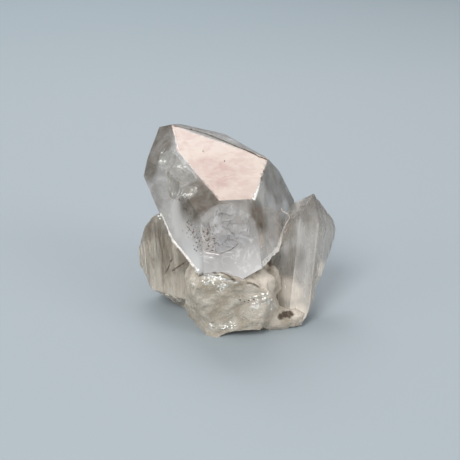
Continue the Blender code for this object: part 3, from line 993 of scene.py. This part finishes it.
# %% [markdown]
# ## Colour, clearness, shine and grain
#
# Each property is its own stack of layers over the same marks. Clean quartz is nearly colourless, clear and
# smooth; frost is grey and dull; rock is sandy, dull and grainy; chips are white. Painted shade takes away
# clearness as well, so less of what is behind it shows.

# %% The colours, from clear to rock
MILKY_GREY = (0.82, 0.81, 0.81, 1)
WISP_WHITE = (0.95, 0.95, 0.96, 1)
SWIRL_LILAC = (0.72, 0.725, 0.76, 1)
SWIRL_GREY = (0.23, 0.215, 0.21, 1)
BAND_LILAC = (0.54, 0.52, 0.50, 1)
BAND_BROWN = (0.38, 0.33, 0.27, 1)
SMOKY_PALE = (0.66, 0.62, 0.53, 1)
SMOKY_BROWN = (0.42, 0.35, 0.26, 1)
SMOKY_DARK = (0.20, 0.15, 0.10, 1)
# brown of the painted shade, also used for the stripes behind
SHADED_BROWN = (0.165, 0.135, 0.105, 1)
# colours of the painted sheen on the shining end
SHEEN_PALE = (0.59, 0.51, 0.45, 1)
SHEEN_PINK = (0.44, 0.305, 0.275, 1)
FROST_GREY = (0.32, 0.31, 0.285, 1)
ROCK_SAND = (0.50, 0.43, 0.34, 1)
ROCK_PALE = (0.72, 0.66, 0.57, 1)
ROCK_GREEN = (0.46, 0.44, 0.36, 1)
ROCK_DARK = (0.14, 0.11, 0.08, 1)
PALE_SAND_AND_LIGHT = (0.88, 0.79, 0.69, 1)
CHIP_WHITE = (0.97, 0.96, 0.92, 1)
# colour of the painted shade in the crevice
CREVICE_SHADE = (0.13, 0.105, 0.075, 1)
RUST_BROWN = (0.06, 0.042, 0.024, 1)

# %% Colours that are patterns themselves
banded = mixed(streaks, BAND_LILAC, BAND_BROWN)
smoky = mixed(times(cracks, 0.9), mixed(streaks, SMOKY_PALE, SMOKY_BROWN), SMOKY_DARK)
# mottling of the painted sheen
mottled = spread(noise_field(as_it_lies, 4.5 * MM, 6.0, 0.62, 0.8), 0.42, 0.62)
mottled = most(times(mottled, 0.6), times(marks["pinker_sheen"], spread(patches, 0.3, 0.6)))
painted_sheen = mixed(mottled, SHEEN_PALE, SHEEN_PINK)
rock = layered(mixed(spread(patches, 0.40, 0.62), ROCK_SAND, ROCK_PALE), (
    (times(spread(speckle, 0.52, 0.66), 0.7), ROCK_GREEN),
    (spread(grains, 0.62, 0.72), CHIP_WHITE),
    (spread(speckle, 0.33, 0.27), ROCK_DARK),
))
crushed = mixed(spread(grains, 0.34, 0.42), ROCK_SAND, CHIP_WHITE)
rusty = mixed(spread(speckle, 0.42, 0.58), RUST_BROWN, ROCK_DARK)

# %% Colour, layer by layer
colour = layered(MILKY_GREY, (
    (times(most(wisps, times(marks["clouded"], 0.6)), 0.8), WISP_WHITE),
    (times(in_ovoid, 0.6), SWIRL_LILAC),
    (times(swirl_lines, 0.9), SWIRL_GREY),
    (times(marks["banded"], 0.8), banded),
    (times(marks["smoky"], 0.85), smoky),
    # painted shade
    (times(shaded, spread(patches, 0.38, 0.55, 0.8, 1.0)), SHADED_BROWN),
    (times(times(marks["striped"], spread(stripes, 0.50, 0.66)), 0.35), SHADED_BROWN),
    (times(marks["earthy"], 0.5), ROCK_PALE),
    # painted sheen
    (marks["painted_sheen"], painted_sheen),
    (frost, FROST_GREY),
    (marks["broken"], rock),
    # pale sand, partly painted light on the root's shaded right
    (times(marks["pale"], spread(patches, 0.38, 0.55, 0.3, 0.7)), PALE_SAND_AND_LIGHT),
    # white chips, a painted highlight and painted glints
    (chips_and_highlights, crushed),
    # painted shade in the crevice and below the lip
    (marks["crevice"], CREVICE_SHADE),
    (marks["rust"], rusty),
))
feed(quartz_shader.inputs["Base Color"], colour)

# %% How much light goes through
clearness = mixed(marks["milky"], 0.80, 0.50)
clearness = times(clearness, mixed(most(wisps, times(marks["clouded"], 0.45)), 1.0, 0.55))
# painted shade also takes away clearness
clearness = times(clearness, mixed(shaded, 1.0, 0.78))
clearness = layered(clearness, (
    (marks["banded"], mixed(streaks, 0.66, 0.74)),
    (marks["smoky"], mixed(streaks, 0.66, 0.78)),
    (times(marks["earthy"], 0.6), 0.4),
    (marks["painted_sheen"], 0.4),
    (frost, 0.55),
    (marks["broken"], 0.28),
    (times(marks["pale"], 0.7), 0.3),
    (chips_and_highlights, 0.2),
    (most(marks["crevice"], marks["rust"]), 0.1),
))
feed(quartz_shader.inputs["Transmission Weight"], clearness)

# %% How dull it is
roughness = layered(mixed(wisps, 0.12, 0.2), (
    (marks["banded"], mixed(streaks, 0.3, 0.18)),
    (marks["smoky"], 0.16),
    (marks["painted_sheen"], 0.06),
    (frost, 0.42),
    (marks["broken"], spread(grains, 0.4, 0.65, 0.65, 0.3)),
    (chips_and_highlights, 0.3),
))
feed(quartz_shader.inputs["Roughness"], roughness)

# %% Grain too fine for the mesh
stone = plus(times(plus(speckle, strata), 0.6), times(grains, 0.9))
relief = times(stone, most(marks["broken"], most(frost, chips_and_highlights)))
growth = plus(times(ripple, 0.12), times(grains, 0.05))
growth = plus(growth, times(times(stripes, marks["striped"]), 0.55))
bump = add_node("ShaderNodeBump", Strength=0.7, Distance=0.4 * MM, Height=plus(relief, growth))
feed(quartz_shader.inputs["Normal"], bump.outputs["Normal"])

# %% What the inside swallows, and onto the body
ABSORBED_TINT = (0.80, 0.75, 0.66, 1)
ABSORPTION = 75.0
swallowed = add_node("ShaderNodeVolumeAbsorption", Color=ABSORBED_TINT, Density=ABSORPTION)
feed(clear_quartz.node_tree.nodes["Material Output"].inputs["Volume"], swallowed.outputs["Volume"])
quartz.data.materials.clear()
quartz.data.materials.append(clear_quartz)
print("the quartz is made of", len(clear_quartz.node_tree.nodes), "nodes")

# %% [markdown]
# ## Flecks, crumbs and cracks
#
# Quartz traps what was there while it grew, and it cracks where it is knocked. Brown flecks of iron oxide sit
# in a chain below the left front edge and at the right foot, and white crumbs of crushed quartz stick along the
# broken edges. Both are twenty-sided lumps. A crack, dark or bright, is a line of little balls that are pressed
# flat and pulled long; one dark line is painted shade behind the crest, and one bright line is a painted
# highlight along the shining end's left edge. Every piece is set half into the skin, at the nearest point of
# the finished body.

# %% Where the skin is
def on_skin(place):
    """The nearest point of the finished skin to a measured place."""
    return quartz.closest_point_on_mesh(at(place))[1]


bpy.context.view_layer.update()
print("the front's swirl lies at", [round(value, 4) for value in on_skin(OVOID[0])])

# %% A chain of brown flecks
FLECK_CHAIN = (  # measured places, how far the flecks spread round each, and how many there are
    ((-13.4, 2.0, 33.1), 0.5, 3), ((-12.4, -0.2, 32.3), 0.5, 3), ((-11.2, -2.6, 31.7), 0.6, 4),
    ((-10.3, -4.6, 30.7), 0.6, 4), ((-10.6, -5.0, 28.9), 0.7, 4), ((-11.2, -5.1, 27.0), 0.9, 6),
    ((-10.0, -6.9, 27.3), 1.0, 6), ((-9.2, -9.1, 25.9), 1.0, 7), ((-8.1, -10.1, 27.7), 1.0, 7),
    ((-8.0, -11.6, 24.9), 0.9, 6), ((-6.2, -11.2, 27.5), 1.0, 7), ((-7.0, -12.3, 26.3), 1.0, 7),
    ((-5.2, -11.7, 26.6), 1.0, 6), ((-5.7, -13.0, 24.9), 0.9, 6), ((-4.1, -12.2, 25.7), 0.9, 4),
    ((-4.9, -13.7, 23.8), 0.5, 4), ((1.8, -16.9, 12.3), 0.4, 2), ((3.4, -16.8, 11.3), 0.4, 2),
    ((4.4, -16.8, 11.3), 0.3, 1), ((5.5, -16.7, 11.3), 0.4, 2), ((-7.7, 17.6, 42.4), 0.1, 1),
    ((-1.7, 12.9, 40.75), 0.1, 1), ((8.0, 15.7, 41.15), 0.1, 1),
    ((14.0, -10.6, 3.9), 0.4, 5), ((15.0, -10.4, 4.1), 0.4, 6), ((16.0, -10.0, 4.0), 0.4, 5),
)
FLECK_SIZE = (0.10, 0.27)  # smallest and largest half size, in mm


def join(name, pieces):
    take_up(pieces[0])
    for piece in pieces:
        piece.select_set(True)
    bpy.ops.object.join()
    pieces[0].name = name
    bpy.ops.object.transform_apply(location=True, rotation=True, scale=True)
    return pieces[0]


def scatter(name, chain, size, seed):
    """Crumbs of random size, strewn round the places of a chain and set into the skin there."""
    scattering = random.Random(seed)
    crumbs = []
    for place, spread, count in chain:
        for _ in range(count):
            spot = Vector(place) + Vector([scattering.gauss(0, spread) for _ in range(3)])
            sizes = [scattering.uniform(*size) * MM for _ in range(3)]
            turn = [scattering.uniform(0, math.pi) for _ in range(3)]
            crumbs.append(lump(name, on_skin(spot), sizes, turn))
    crumbs = join(name, crumbs)
    report(crumbs)
    return crumbs


brown_flecks = scatter("brown_flecks", FLECK_CHAIN, FLECK_SIZE, seed=4)

# %% White crumbs where the group was knocked
CRUMB_CHAIN = (
    ((-6.1, -18.5, 18.3), 0.4, 4), ((-5.6, -18.4, 17.7), 0.4, 4), ((-4.8, -18.5, 18.3), 0.3, 3),
    ((-4.1, -18.3, 17.6), 0.4, 4), ((-3.3, -18.5, 18.3), 0.4, 4), ((-2.4, -18.6, 18.8), 0.3, 3),
    ((-2.8, -17.9, 15.5), 0.5, 3), ((-2.0, -18.0, 15.8), 0.5, 3), ((6.2, -16.8, 10.8), 0.5, 4),
    ((6.7, -17.1, 12.1), 0.5, 4), ((8.3, -17.0, 11.7), 0.5, 3), ((8.8, -17.3, 13.3), 0.5, 3),
    ((10.8, -13.5, 7.5), 0.4, 3), ((10.4, -16.0, 11.3), 0.4, 3), ((-4.7, -15.6, 3.3), 0.5, 3),
    ((-1.6, -15.5, 2.9), 0.5, 5), ((-0.8, -15.5, 3.2), 0.5, 4), ((0.5, -15.6, 3.9), 0.5, 4),
    ((-9.3, -9.5, 16.4), 0.5, 3), ((-9.2, -13.2, 15.4), 0.5, 3), ((-8.7, -11.9, 16.9), 0.5, 3),
    ((-8.2, -15.0, 19.3), 0.4, 3), ((-20.0, 8.6, 25.5), 0.4, 5),
)
CRUMB_SIZE = (0.12, 0.42)  # smallest and largest half size, in mm
white_crumbs = scatter("white_crumbs", CRUMB_CHAIN, CRUMB_SIZE, seed=9)

# %% Cracks, with one line of painted shade and one line of painted highlight
DARK_CRACKS_AND_SHADE_LINE = (  # half width in mm, then the measured places that the crack passes
    (0.05, (-2.6, -13.9, 23.2), (0.2, -12.9, 23.9), (2.1, -11.8, 25.1)),
    (0.09, (-13.4, 9.6, 39.1), (-12.7, 8.3, 38.6)),
    (0.07, (-14.4, 5.8, 36.8), (-13.7, 4.6, 36.2)),
    (0.10, (-18.2, 1.1, 11.3), (-17.3, 1.4, 13.0), (-16.5, 1.7, 14.7), (-15.6, 1.9, 16.1)),
    (0.10, (-15.9, 0.4, 12.5), (-14.4, 0.2, 13.8), (-12.7, -0.2, 15.2)),
    (0.06, (-20.4, 7.8, 22.6), (-19.8, 6.0, 19.6), (-19.1, 4.2, 16.7), (-18.8, 2.6, 13.7)),
    (0.06, (-18.6, 6.4, 21.9), (-18.3, 4.8, 18.9), (-17.4, 3.4, 17.0), (-16.8, 1.9, 14.6)),
    (0.05, (-19.2, 6.2, 20.8), (-18.4, 3.6, 17.4), (-17.6, 1.9, 14.6)),
    (0.07, (6.3, -7.1, 32.1), (7.0, -8.1, 30.5), (7.3, -9.2, 28.7)),
    # along the crest: a dark line of painted shade behind the ridge
    (0.13, (-16.6, 30.9, 46.7), (-11.1, 30.0, 45.7), (-7.5, 28.6, 45.0), (-3.3, 25.6, 44.1), (1.2, 21.8, 43.0),
     (5.2, 18.4, 42.0), (8.5, 15.8, 41.0), (10.5, 14.5, 40.7)),
)
BRIGHT_CRACKS_AND_HIGHLIGHT = (
    (0.09, (-7.2, -13.9, 23.4), (-2.8, -14.2, 23.1)),
    (0.07, (-6.5, -14.2, 22.6), (-4.4, -14.6, 22.2)),
    (0.09, (14.7, 13.1, 26.6), (16.0, 12.8, 25.4), (17.1, 10.5, 24.6), (16.2, 10.4, 23.2)),
    (0.15, (16.2, 10.4, 23.2), (15.1, 9.1, 21.5), (14.1, 3.0, 19.2), (13.3, 0.0, 18.6), (12.3, -3.0, 18.9),
     (11.3, -6.0, 19.2), (10.3, -9.0, 19.4), (9.3, -12.0, 19.7)),
    (0.18, (-17.6, 4.0, 24.6), (-17.1, 2.5, 23.3), (-16.3, 0.6, 22.3), (-15.3, -1.6, 21.8), (-13.7, -4.3, 21.5),
     (-12.2, -7.3, 20.7), (-10.8, -10.3, 19.8), (-9.4, -13.1, 19.2)),
    # along the shining end's left edge: a painted highlight
    (0.08, (-17.0, 29.0, 46.0), (-16.2, 25.8, 45.1), (-15.6, 21.4, 43.9), (-14.6, 17.6, 42.7)),
)
CRACK_STEP = 1.1  # length of the pieces of a crack, in mm
CRACK_WOBBLE = 0.12  # how far they stray, in mm
SLIVER_WIDTHS = (0.6, 1.4)  # least and most of the crack's half width
SLIVER_SHAPE = (1, 2)  # a sliver is twice as wide as it is thick
SLIVER_REACH = 0.6  # half length as a share of a piece, so that neighbours overlap
SLIVER_DETAIL = 2
wandering = random.Random(6)


def crack(name, half_width, *places):
    """Short flat slivers in a line through the places, each set into the skin and straying a little."""
    stops = []
    for place in (*filled(places, CRACK_STEP), places[-1]):
        stray = [wandering.uniform(-CRACK_WOBBLE, CRACK_WOBBLE) for _ in range(3)]
        stops.append(on_skin(Vector(place) + Vector(stray)))
    slivers = []
    for start, end in zip(stops, stops[1:]):
        way = end - start
        width = half_width * wandering.uniform(*SLIVER_WIDTHS) * MM
        half_sizes = (*(width * share for share in SLIVER_SHAPE), way.length * SLIVER_REACH)
        turn = way.to_track_quat("Z", "Y").to_euler()
        slivers.append(lump(name, (start + end) / 2, half_sizes, turn, SLIVER_DETAIL))
    return slivers


def cracks_along(name, lines):
    slivers = join(name, [sliver for line in lines for sliver in crack(name, *line)])
    report(slivers)
    return slivers


dark_cracks = cracks_along("dark_cracks", DARK_CRACKS_AND_SHADE_LINE)
bright_cracks = cracks_along("bright_cracks", BRIGHT_CRACKS_AND_HIGHLIGHT)

# %% What they are made of
DULL_MATERIALS = (  # piece, name of the material, colour, share of the light that goes through
    (brown_flecks, "iron_oxide", (0.12, 0.085, 0.07, 1), 0.0),
    # the dark cracks include the line of painted shade along the crest
    (dark_cracks, "dark_crack", (0.15, 0.115, 0.08, 1), 0.3),
    (white_crumbs, "crushed_quartz", CHIP_WHITE, 0.1),
    # the bright cracks include the painted highlight along the shining end's left edge
    (bright_cracks, "bright_crack", (0.95, 0.88, 0.84, 1), 0.2),
)
DULLNESS = 0.6
FAINT_IOR = 1.1  # hardly bends light, so no piece glitters against the quartz that it sits in
for piece, name, tone, see_through in DULL_MATERIALS:
    material, shader = new_material(name)
    shader.inputs["Base Color"].default_value = tone
    shader.inputs["Roughness"].default_value = DULLNESS
    shader.inputs["Transmission Weight"].default_value = see_through
    shader.inputs["IOR"].default_value = FAINT_IOR
    piece.data.materials.append(material)
    print(f"{piece.name} are made of {name}")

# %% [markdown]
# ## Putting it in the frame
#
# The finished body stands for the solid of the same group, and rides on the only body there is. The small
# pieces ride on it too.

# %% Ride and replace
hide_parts(NODE)
for piece in (quartz, brown_flecks, white_crumbs, dark_cracks, bright_cracks):
    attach(piece, "root")

# %% [markdown]
# ## Floor, light and camera
#
# A plain pale floor and soft studio lights, so that nothing but the quartz has a pattern. The main light is a
# wide warm panel above and behind: the shining end mirrors it towards the camera, which is what makes that face
# glow. The camera looks down on the group by twenty degrees.

# %% Floor
FLOOR_TONE = (0.285, 0.325, 0.35, 1)
FLOOR_SIZE = 4
FLOOR_ROUGHNESS = 0.7
FLOOR_DROP = 0.02 * MM  # keeps the floor just clear of the foot
bpy.ops.mesh.primitive_plane_add(size=FLOOR_SIZE, location=(0, 0, -FLOOR_DROP))
floor = bpy.context.object
floor.name = "floor"
floor_material, floor_shader = new_material("pale_floor")
floor_shader.inputs["Base Color"].default_value = FLOOR_TONE
floor_shader.inputs["Roughness"].default_value = FLOOR_ROUGHNESS
floor.data.materials.append(floor_material)
print("the floor is", floor.dimensions.x, "m wide")

# %% Lights
SHINING_END = at((-2, 14, 40))
FILL_DISTANCE = 1.8
FILL_SIZE = 0.8
FILLS = (  # name, the direction that it comes from, power, colour
    ("front_fill", (-0.4, -0.75, 0.75), 26.0, (1.0, 0.98, 0.95)),
    ("left_fill", (-0.9, -0.4, 0.35), 5.0, (1.0, 0.98, 0.95)),
    ("right_fill", (0.85, -0.55, 0.45), 11.0, (1.0, 0.97, 0.93)),
    ("back_fill", (-0.25, 0.85, 0.8), 14.0, (0.95, 0.98, 1.0)),
)


def panel(name, toward, distance, size, power, colour, mirrored=True):
    """A square soft light that hangs in the given direction from the shining end and faces it."""
    light = bpy.data.lights.new(name, "AREA")
    light.shape = "SQUARE"
    light.size = size
    light.energy = power
    light.color = colour
    obj = bpy.data.objects.new(name, light)
    bpy.context.scene.collection.objects.link(obj)
    obj.location = SHINING_END + Vector(toward).normalized() * distance
    obj.rotation_euler = Vector(toward).to_track_quat("Z", "Y").to_euler()
    obj.visible_glossy = mirrored
    print(f"{name}: {power} W")


panel("warm_panel", (0.047, 0.609, 0.792), 0.6, 0.26, 0.55, (1.0, 0.80, 0.74))
for name, toward, power, colour in FILLS:
    panel(name, toward, FILL_DISTANCE, FILL_SIZE, power, colour, mirrored=False)

# %% The room: pale, and brighter overhead
ROOM_TONE = (0.84, 0.88, 0.92, 1)
ROOM_LIGHT = (("From Min", 0.0), ("From Max", 0.75), ("To Min", 0.15), ("To Max", 0.8))
world = bpy.data.worlds.new("studio")
bpy.context.scene.world = world
world.use_nodes = True
background = world.node_tree.nodes["Background"]
background.inputs["Color"].default_value = ROOM_TONE
direction = world.node_tree.nodes.new("ShaderNodeTexCoord")
height = world.node_tree.nodes.new("ShaderNodeSeparateXYZ")
softbox = world.node_tree.nodes.new("ShaderNodeMapRange")
for name, value in ROOM_LIGHT:
    softbox.inputs[name].default_value = value
world.node_tree.links.new(direction.outputs["Generated"], height.inputs["Vector"])
world.node_tree.links.new(height.outputs["Z"], softbox.inputs["Value"])
world.node_tree.links.new(softbox.outputs["Result"], background.inputs["Strength"])

# %% Camera
SENSOR = 36
FOCAL_PIXELS = 800  # focal length in pixels of the 460 pixel frame
FRAME_PIXELS = 460
DISTANCE = 212 * MM
LOOKED_AT = at((0, -6, 27))
DOWN = math.radians(20)
NEAREST = 0.01
camera = bpy.data.objects.new("camera", bpy.data.cameras.new("camera"))
bpy.context.scene.collection.objects.link(camera)
camera.data.sensor_width = SENSOR
camera.data.lens = FOCAL_PIXELS / FRAME_PIXELS * SENSOR
camera.data.clip_start = NEAREST
camera.location = LOOKED_AT + DISTANCE * Vector((0, -math.cos(DOWN), math.sin(DOWN)))
camera.rotation_euler = (math.radians(90) - DOWN, 0, 0)
bpy.context.scene.camera = camera
bpy.context.scene.view_settings.view_transform = "Standard"
print("the camera's focal length is", round(camera.data.lens, 1), "mm")
